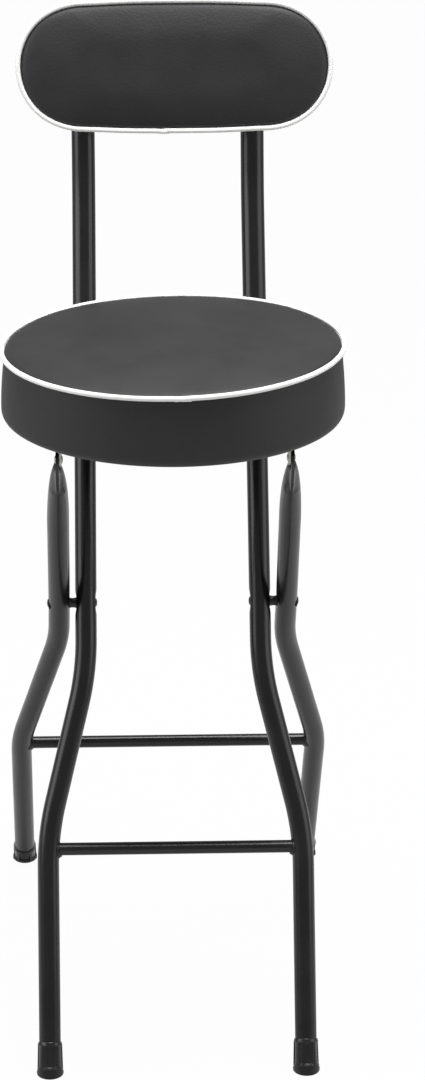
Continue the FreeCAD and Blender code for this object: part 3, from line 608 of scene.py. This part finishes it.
for side, word in ((-1, "left"), (1, "right")):
    for end, leg, direction in (("front", frontLegs, frontUp), ("rear", rearLegs, rearUp)):
        makeFoot(end + "Foot_" + word, side, leg["foot"], stool[end + "Lean"], direction, end + "_frame",
                 end + "_foot_" + word)
print("feet made")


# Two domed heads stand on a shank; base is how far a head's foot lies in from the end of the CAD rivet
rivets = {
    "pivot": {"radius": 4.4, "height": 1.6, "base": 2.8, "shank": 3.5, "sides": 24,
              "finish": "blackPaint", "body": "front_frame", "slot": "rivet_black"},
    "hinge": {"radius": 4.2, "height": 1.4, "base": 1.4, "shank": 3.0, "sides": 24,
              "finish": "zincPlate", "body": "seat", "slot": "bracket_zinc"},
}


def domedHeads(name, spots, size, finish):
    thing = meshFrom(name, [spot for spot, facing in spots])
    layer = thing.data.attributes.new("facing", "FLOAT_VECTOR", "POINT")
    for index, (spot, facing) in enumerate(spots):
        layer.data[index].vector = facing
    return grow(thing, headTree, {"Head Radius": size["radius"] * mm, "Head Height": size["height"] * mm}, finish)


def makeRivets():
    outward = Vector((1, 0, 0))
    for word in ("left", "right"):
        for kind, plan in rivets.items():
            node = kind + "_rivet_" + word
            low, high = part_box(node)
            middle = (low + high) / 2
            right = Vector((high.x - plan["base"] * mm, middle.y, middle.z))
            left = Vector((low.x + plan["base"] * mm, middle.y, middle.z))
            finish = finishes[plan["finish"]]
            head = domedHeads(kind + "Rivet_" + word, [(right, outward), (left, -outward)], plan, finish)
            shank = tube(kind + "Shank", [left, right], plan["shank"] * mm, plan["sides"], finish)
            rivet = join([head, shank], kind + "Rivet_" + word)
            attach(rivet, plan["body"])
            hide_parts(node)


makeRivets()
print("rivets made")


def coonsPanel(outline, acrossCount, alongCount):  # grid whose border is a closed outline of points
    total = 2 * (acrossCount + alongCount)
    bottom = [outline[i] for i in range(acrossCount + 1)]
    right = [outline[acrossCount + i] for i in range(alongCount + 1)]
    top = [outline[(2 * acrossCount + alongCount - i) % total] for i in range(acrossCount + 1)]
    left = [outline[(total - i) % total] for i in range(alongCount + 1)]
    grid = []
    for j in range(alongCount + 1):
        v = j / alongCount
        row = []
        for i in range(acrossCount + 1):
            u = i / acrossCount
            row.append(bottom[i] * (1 - v) + top[i] * v + left[j] * (1 - u) + right[j] * u
                       - bottom[0] * (1 - u) * (1 - v) - bottom[-1] * u * (1 - v)
                       - top[0] * (1 - u) * v - top[-1] * u * v)
        grid.append(row)
    return grid


def borderIndex(acrossCount, alongCount):  # grid places of the border, in the outline's order
    order = [(i, 0) for i in range(acrossCount)] + [(acrossCount, j) for j in range(alongCount)]
    order += [(i, alongCount) for i in range(acrossCount, 0, -1)] + [(0, j) for j in range(alongCount, 0, -1)]
    return order


def padMesh(name, outline, normals, acrossCount, alongCount, crownHeight, sideRings, place):
    # a crowned top, rings of (inset, height) down the side and a flat base, all in one closed grid
    seam = [p - n * sideRings[0][0] for p, n in zip(outline, normals)]
    grid = coonsPanel(seam, acrossCount, alongCount)
    points, faces = [], []
    wide = acrossCount + 1
    for row in grid:
        for p in row:
            points.append(Vector((p.x, p.y, sideRings[0][1] + crownHeight(p))))
    for j in range(alongCount):
        for i in range(acrossCount):
            a = j * wide + i
            faces.append((a, a + 1, a + wide + 1, a + wide))
    ring = [j * wide + i for i, j in borderIndex(acrossCount, alongCount)]
    rings = [ring]
    for inset, height in sideRings[1:]:
        start = len(points)
        points += [Vector((p.x - n.x * inset, p.y - n.y * inset, height)) for p, n in zip(outline, normals)]
        lower = list(range(start, start + len(outline)))
        for k in range(len(outline)):
            m = (k + 1) % len(outline)
            faces.append((ring[m], ring[k], lower[k], lower[m]))
        ring = lower
        rings.append(ring)
    inset, height = sideRings[-1]
    base = coonsPanel([p - n * inset for p, n in zip(outline, normals)], acrossCount, alongCount)
    lookup = {}
    order = {spot: ring[k] for k, spot in enumerate(borderIndex(acrossCount, alongCount))}
    for j in range(alongCount + 1):
        for i in range(acrossCount + 1):
            if (i, j) in order:
                lookup[i, j] = order[i, j]
            else:
                lookup[i, j] = len(points)
                points.append(Vector((base[j][i].x, base[j][i].y, height)))
    for j in range(alongCount):
        for i in range(acrossCount):
            faces.append((lookup[i, j], lookup[i, j + 1], lookup[i + 1, j + 1], lookup[i + 1, j]))
    pad = meshFrom(name, [place @ (p * mm) for p in points], (), faces)
    return pad, rings


swelling = {"pressure": 4.0, "steps": 20, "stiffness": 25, "bending": 1.5, "quality": 6}


def puff(pad, held, cap):  # a short cloth run swells the cover between its seams
    start = [v.co.copy() for v in pad.data.vertices]
    group = pad.vertex_groups.new(name="held")
    group.add(sorted(held), 1.0, "REPLACE")
    cloth = pad.modifiers.new("cloth", "CLOTH")
    cloth.settings.vertex_group_mass = "held"
    cloth.settings.use_pressure = True
    cloth.settings.uniform_pressure_force = swelling["pressure"]
    cloth.settings.effector_weights.gravity = 0
    cloth.settings.tension_stiffness = swelling["stiffness"]
    cloth.settings.compression_stiffness = swelling["stiffness"]
    cloth.settings.bending_stiffness = swelling["bending"]
    cloth.settings.quality = swelling["quality"]
    cloth.point_cache.frame_start, cloth.point_cache.frame_end = 1, swelling["steps"]
    scene = bpy.context.scene
    for step in range(1, swelling["steps"] + 1):
        scene.frame_set(step)
    grown = bpy.data.meshes.new_from_object(pad.evaluated_get(bpy.context.evaluated_depsgraph_get()))
    pad.modifiers.remove(cloth)
    scene.frame_set(1)
    most = 0.0
    for index, vertex in enumerate(pad.data.vertices):
        move = grown.vertices[index].co - start[index]
        most = max(most, move.length)
        if move.length > cap:
            move *= cap / move.length
        vertex.co = start[index] + move
    pad.vertex_groups.remove(group)
    print(pad.name, "swelled by up to", round(most / mm, 2), "mm")


def subdivide(pad):
    modifier = pad.modifiers.new("smooth", "SUBSURF")
    modifier.levels = modifier.render_levels = 1
    for face in pad.data.polygons:
        face.use_smooth = True


pipingJoin = {"lap": 24.0, "proud": 0.9, "sides": 20}


def makePiping(name, spotAt, count, tuck, sink):  # its last end crosses over its first before both dive in
    spots = [spotAt(i / count) for i in range(count)]
    pace = (spots[1][0] - spots[0][0]).length / mm
    lap = round(pipingJoin["lap"] / pace)
    points = []
    for index in range(-lap // 2, count + lap // 2):
        spot, out, front = spots[index % count]
        first = min(1.0, (index + lap / 2) / lap)
        last = min(1.0, (count + lap / 2 - index) / lap)
        dive = (1 - first) ** 3 + (1 - last) ** 3
        shift = out * (pipingJoin["proud"] * sin(pi * last) - tuck * dive)
        points.append(spot + (shift - front * (sink * dive)) * mm)
    return tube(name, points, stool["pipingRadius"], pipingJoin["sides"], finishes["pipingVinyl"])


# Insets are from the seam's circle inward; turn lists how far inside the roll, and how high, the lower edge runs in
seatPad = {"radius": 168.5, "low": 660.0, "high": 730.0, "cells": 36, "fill": 0.9, "cap": 1.6, "tilt": radians(1.0),
           "crown": 9.5, "reach": 60.0, "edgeShare": 0.45, "broadShare": 0.55,
           "seamUp": 1.0, "seamDown": 2.5, "seamOut": 0.1,
           "drawIn": 2.6, "belly": -1.4, "sideRows": 9, "round": 8.5, "roundRows": 5,
           "roll": 17.0, "turn": ((3.0, 0.0), (0.8, 1.2), (0.0, 4.0)), "recess": 13.5,
           "heldRings": 6, "near": 0.2, "piping": {"count": 300, "tuck": 7.5, "sink": 3.8, "start": 0.04}}


def circleOutline(radius, acrossCount, alongCount):
    outline, normals = [], []
    total = 2 * (acrossCount + alongCount)
    for k in range(total):
        angle = -3 * pi / 4 + 2 * pi * k / total
        normals.append(Vector((cos(angle), sin(angle), 0)))
        outline.append(normals[-1] * radius)
    return outline, normals


def makeSeat():
    pad, cells = seatPad, seatPad["cells"]
    outline, normals = circleOutline(pad["radius"], cells, cells)
    edge = pad["radius"] - pad["drawIn"]

    def crown(point):
        inset = edge - hypot(point.x, point.y)
        share = min(1.0, max(0.0, inset / pad["reach"]))
        broad = 1 - (hypot(point.x, point.y) / edge) ** 2
        return pad["crown"] * (pad["edgeShare"] * sqrt(1 - (1 - share) ** 2) + pad["broadShare"] * broad)

    sideTop = pad["high"] - pad["seamDown"]
    sideDepth = sideTop - pad["low"] - pad["round"]
    rings = [(pad["drawIn"], pad["high"] + pad["seamUp"]), (pad["drawIn"] + pad["seamOut"], sideTop)]
    for step in range(1, pad["sideRows"] + 1):
        share = step / pad["sideRows"]
        inset = pad["drawIn"] + (pad["belly"] - pad["drawIn"]) * sin(share * pi / 2)
        rings.append((inset, sideTop - sideDepth * share))
    for step in range(1, pad["roundRows"] + 1):
        angle = pi / 2 * step / pad["roundRows"]
        rings.append((pad["belly"] + pad["round"] * (1 - cos(angle)), pad["low"] + pad["round"] * (1 - sin(angle))))
    rings += [(pad["roll"] - inset, pad["low"] + rise) for inset, rise in pad["turn"]]
    ceiling = pad["low"] + pad["recess"]
    rings.append((pad["roll"], ceiling))
    seat, ringList = padMesh("seatCushion", outline, normals, cells, cells, crown, rings,
                             Matrix.Translation((0, stool["seatY"], 0)))
    held = set(ringList[0]) | set(ringList[1])
    for ring in ringList[-pad["heldRings"]:]:
        held |= set(ring)
    held |= {v.index for v in seat.data.vertices if abs(v.co.z - ceiling * mm) < pad["near"] * mm}
    puff(seat, held, pad["cap"] * mm)
    for vertex in seat.data.vertices:  # the sewn top sits a little higher on one side
        share = min(1, max(0, (vertex.co.z / mm - pad["low"]) / (pad["high"] - pad["low"])))
        vertex.co.z += vertex.co.x * tan(pad["tilt"]) * share
    seat.data.materials.append(seatVinyl)
    subdivide(seat)
    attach(seat, "seat")
    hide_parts("seat_cushion")

    ends = pad["piping"]

    def ringSpot(share):  # starts near the front of the seat
        angle = 2 * pi * share - pi / 2 + ends["start"]
        out = Vector((cos(angle), sin(angle), 0))
        spot = out * stool["seatRadius"] + Vector((0, stool["seatY"], stool["seatZ"]))
        return spot + Vector((0, 0, spot.x * tan(pad["tilt"]))), out, Vector((0, 0, 1))

    piping = makePiping("seatPiping", ringSpot, ends["count"], ends["tuck"], ends["sink"])
    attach(piping, "seat")
    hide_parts("seat_piping")


# Heights are out from the posts; the rows go from the seam over the side to the hem behind
backPad = {"width": 325.0, "height": 137.0, "centreZ": 946.0, "shift": 7.0, "across": 46, "along": 20,
           "cover": 3.0, "depth": 21.0, "crown": 6.2, "reach": 44.0, "fill": 0.85, "cap": 1.4,
           "bow": 0.036, "bowPeak": 108.0, "seamUp": 0.6, "seamDown": 2.0, "seamOut": 0.1,
           "drawIn": 3.0, "belly": 0.6, "sideDeep": 9.0, "sideRows": 5,
           "hem": 4.5, "hemDeep": 7.0, "hemRows": 4, "hemWide": 5.0,
           "heldRings": 3, "near": 0.2, "piping": {"across": 110, "along": 60, "tuck": 3.0, "sink": 11.0, "start": 52}}


def backPlace():
    bend = postCorners(1)[1]
    middle = bend + backUp * ((backPad["centreZ"] * mm - bend.z) / backUp.z)
    middle.x = backPad["shift"] * mm
    origin = middle + backOut * stool["postRadius"]
    place = Matrix.Identity(4)
    for row in range(3):
        place[row][0], place[row][1], place[row][2] = (1, 0, 0)[row], backUp[row], backOut[row]
        place[row][3] = origin[row]
    return place


def pillOutline(radius, end, acrossCount, alongCount):  # starts at the lower left and goes round
    quarter = pi * radius / 4
    outline, normals = [], []

    def along(distance):  # a point at a distance round from the middle of the bottom
        total = 4 * end + 2 * pi * radius
        distance %= total
        if distance < end:
            return Vector((distance, -radius, 0)), Vector((0, -1, 0))
        distance -= end
        if distance < pi * radius:
            a = distance / radius - pi / 2
            n = Vector((cos(a), sin(a), 0))
            return Vector((end, 0, 0)) + n * radius, n
        distance -= pi * radius
        if distance < 2 * end:
            return Vector((end - distance, radius, 0)), Vector((0, 1, 0))
        distance -= 2 * end
        if distance < pi * radius:
            a = distance / radius + pi / 2
            n = Vector((cos(a), sin(a), 0))
            return Vector((-end, 0, 0)) + n * radius, n
        distance -= pi * radius
        return Vector((-end + distance, -radius, 0)), Vector((0, -1, 0))

    half = end + quarter
    sideLength = 2 * quarter
    spots = [-half + 2 * half * i / acrossCount for i in range(acrossCount)]
    spots += [half + sideLength * i / alongCount for i in range(alongCount)]
    spots += [half + sideLength + 2 * half * i / acrossCount for i in range(acrossCount)]
    spots += [3 * half + sideLength + sideLength * i / alongCount for i in range(alongCount)]
    for spot in spots:
        point, normal = along(spot)
        outline.append(point)
        normals.append(normal)
    return outline, normals


def bowShare(x):  # the long edges draw in a little towards the rounded ends
    reach = abs(x) / backPad["bowPeak"]
    return 1 - backPad["bow"] * sin(pi / 2 * (reach if reach < 1 else max(0.0, 2 - reach))) ** 4


def bowed(point):
    return Vector((point.x, point.y * bowShare(point.x), 0))


def makeBackrest():
    pad = backPad
    radius = pad["height"] / 2 - stool["pipingRadius"] / mm
    end = (pad["width"] - pad["height"]) / 2
    outline, normals = pillOutline(radius, end, pad["across"], pad["along"])
    outline = [bowed(point) for point in outline]
    seamZ = pad["cover"] + pad["depth"]

    def crown(point):
        reach = hypot(max(0.0, abs(point.x) - end), point.y / bowShare(point.x))
        inset = radius - pad["drawIn"] - reach
        share = min(1.0, max(0.0, inset / pad["reach"]))
        return pad["crown"] * sqrt(1 - (1 - share) ** 2)

    sideTop = seamZ - pad["seamDown"]
    rings = [(pad["drawIn"], seamZ + pad["seamUp"]), (pad["drawIn"] + pad["seamOut"], sideTop)]
    for step in range(1, pad["sideRows"] + 1):
        share = step / pad["sideRows"]
        inset = pad["drawIn"] + (pad["belly"] - pad["drawIn"]) * sin(share * pi / 2)
        rings.append((inset, sideTop - pad["sideDeep"] * share))
    for step in range(1, pad["hemRows"] + 1):
        angle = pi / 2 * step / pad["hemRows"]
        rings.append((pad["belly"] + (pad["hem"] - pad["belly"]) * (1 - cos(angle)),
                      pad["cover"] + pad["hemDeep"] - pad["hemDeep"] * sin(angle)))
    rings.append((pad["hem"] + pad["hemWide"], pad["cover"]))
    place = backPlace()
    cushion, ringList = padMesh("backCushion", outline, normals, pad["across"], pad["along"], crown, rings, place)
    held = set(ringList[0]) | set(ringList[1])
    for ring in ringList[-pad["heldRings"]:]:
        held |= set(ring)
    inverse = place.inverted()
    held |= {v.index for v in cushion.data.vertices if (inverse @ v.co).z < (pad["cover"] + pad["near"]) * mm}
    puff(cushion, held, pad["cap"] * mm)
    cushion.data.materials.append(seatVinyl)
    subdivide(cushion)
    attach(cushion, "front_frame")
    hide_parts("backrest_cushion")
    ends = pad["piping"]
    pipeOutline, pipeNormals = pillOutline(radius, end, ends["across"], ends["along"])
    count = len(pipeOutline)

    def edgeSpot(share):  # starts near the middle of the lower edge
        index = (round(share * count) + ends["start"]) % count
        spot = bowed(pipeOutline[index])
        return place @ (Vector((spot.x, spot.y, seamZ)) * mm), place.to_3x3() @ pipeNormals[index], backOut

    piping = makePiping("backPiping", edgeSpot, count, ends["tuck"], ends["sink"])
    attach(piping, "front_frame")
    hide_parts("backrest_piping")


makeSeat()
makeBackrest()
print("pads made")


# Finishes of the pieces that are kept from the frame as they are
kept = {
    "mouldedNylon": ("pivot_spacer_left", "pivot_spacer_right", "hinge_washers", "post_plugs"),
    "blackPaint": ("pivot_washers", "post_joint_screws", "backrest_bolts", "seat_hook_left", "seat_hook_right"),
    "zincPlate": ("hinge_bracket_left", "hinge_bracket_right", "hinge_bracket_screws", "hook_screws", "backrest_nuts"),
    "plywood": ("seat_board", "backrest_board"),
    "nonWovenCloth": ("seat_under_cloth",),
    "grainedPlastic": ("backrest_rear_cover",),
}
for finish, names in kept.items():
    for name in names:
        nodes[name].data.materials.clear()
        nodes[name].data.materials.append(finishes[finish])


# The floor and the world show white behind the object, and light it less than that
studio = {"floor": "#c4c4c4", "world": 0.36, "floorShow": 0.97, "floorShine": 0.18,
          "side": 20.0, "near": -8.0, "far": 40.0}


def makeFloor():
    side, near, far = studio["side"], studio["near"], studio["far"]
    floor = meshFrom("floor", [(-side, near, 0), (side, near, 0), (side, far, 0), (-side, far, 0)], (), [(0, 1, 2, 3)])
    material, tree = startMaterial("paleFloor")[:2]
    ray = addNode(tree, "ShaderNodeLightPath")
    shown = addNode(tree, "ShaderNodeMath", {0: ray.outputs["Is Camera Ray"], 1: studio["floorShow"]},
                    operation="MULTIPLY")
    shiny = addNode(tree, "ShaderNodeMath", {0: ray.outputs["Is Glossy Ray"], 1: studio["floorShine"]},
                    operation="MULTIPLY")
    share = addNode(tree, "ShaderNodeMath", {0: shown.outputs[0], 1: shiny.outputs[0]}, operation="MAXIMUM")
    matt = addNode(tree, "ShaderNodeBsdfDiffuse", {"Color": linear(studio["floor"])})
    shine = addNode(tree, "ShaderNodeEmission", {"Color": (1, 1, 1, 1), "Strength": 1.0})
    mix = addNode(tree, "ShaderNodeMixShader", {0: share.outputs[0], 1: matt.outputs[0], 2: shine.outputs[0]})
    endMaterial(tree, mix)
    floor.data.materials.append(material)


def makeWorld():
    world = bpy.data.worlds.new("studio")
    bpy.context.scene.world = world
    world.use_nodes = True
    tree = world.node_tree
    tree.nodes.clear()
    ray = addNode(tree, "ShaderNodeLightPath")
    strength = addNode(tree, "ShaderNodeMix", {
        0: ray.outputs["Is Camera Ray"], 2: studio["world"], 3: 1.0}, data_type="FLOAT")
    glow = addNode(tree, "ShaderNodeBackground", {"Color": (1, 1, 1, 1), "Strength": strength.outputs[0]})
    addNode(tree, "ShaderNodeOutputWorld", {"Surface": glow.outputs[0]})


lamps = {
    "keyLamp": {"spot": (-2.8, -0.5, 2.0), "aim": (0, -0.1, 0.6), "size": 2.8, "power": 44},
    "topLamp": {"spot": (0.2, -0.1, 3.2), "aim": (0, -0.1, 0.6), "size": 2.2, "power": 112},
    "sideLamp": {"spot": (2.8, -0.7, 1.5), "aim": (0, -0.1, 0.6), "size": 2.4, "power": 20},
}


def makeLamps():
    for name, plan in lamps.items():
        lamp = bpy.data.lights.new(name, "AREA")
        lamp.shape, lamp.size, lamp.energy = "DISK", plan["size"], plan["power"]
        thing = bpy.data.objects.new(name, lamp)
        bpy.context.scene.collection.objects.link(thing)
        spot = Vector(plan["spot"])
        thing.location = spot
        thing.rotation_euler = (Vector(plan["aim"]) - spot).to_track_quat("-Z", "Y").to_euler()


# Focal length in pixels of a frame that is tall pixels high
view = {"away": 3.400, "height": 1.77859, "pitch": radians(20.5788), "pan": radians(0.6856), "yaw": radians(1.0269),
        "focal": 3555.54, "tall": 1080, "sensor": 36.0, "clip": 100}


def makeCamera():
    turn = Matrix.Rotation(-view["yaw"], 3, "Z")
    pitch, pan = view["pitch"], view["pan"]
    ahead = turn @ Vector((sin(pan) * cos(pitch), cos(pan) * cos(pitch), -sin(pitch)))
    right = turn @ Vector((cos(pan), -sin(pan), 0))
    up = right.cross(ahead)
    spot = turn @ Vector((0, -view["away"], view["height"])) + Vector((0, stool["pivotY"], 0))
    camera = bpy.data.objects.new("camera", bpy.data.cameras.new("camera"))
    bpy.context.scene.collection.objects.link(camera)
    camera.data.sensor_width = view["sensor"]
    camera.data.lens = view["focal"] * view["sensor"] / view["tall"]
    place = Matrix.Identity(4)
    for row in range(3):
        place[row][0], place[row][1], place[row][2], place[row][3] = right[row], up[row], -ahead[row], spot[row]
    camera.matrix_world = place
    camera.data.clip_end = view["clip"]
    bpy.context.scene.camera = camera


makeFloor()
makeWorld()
makeLamps()
makeCamera()
print("studio made")
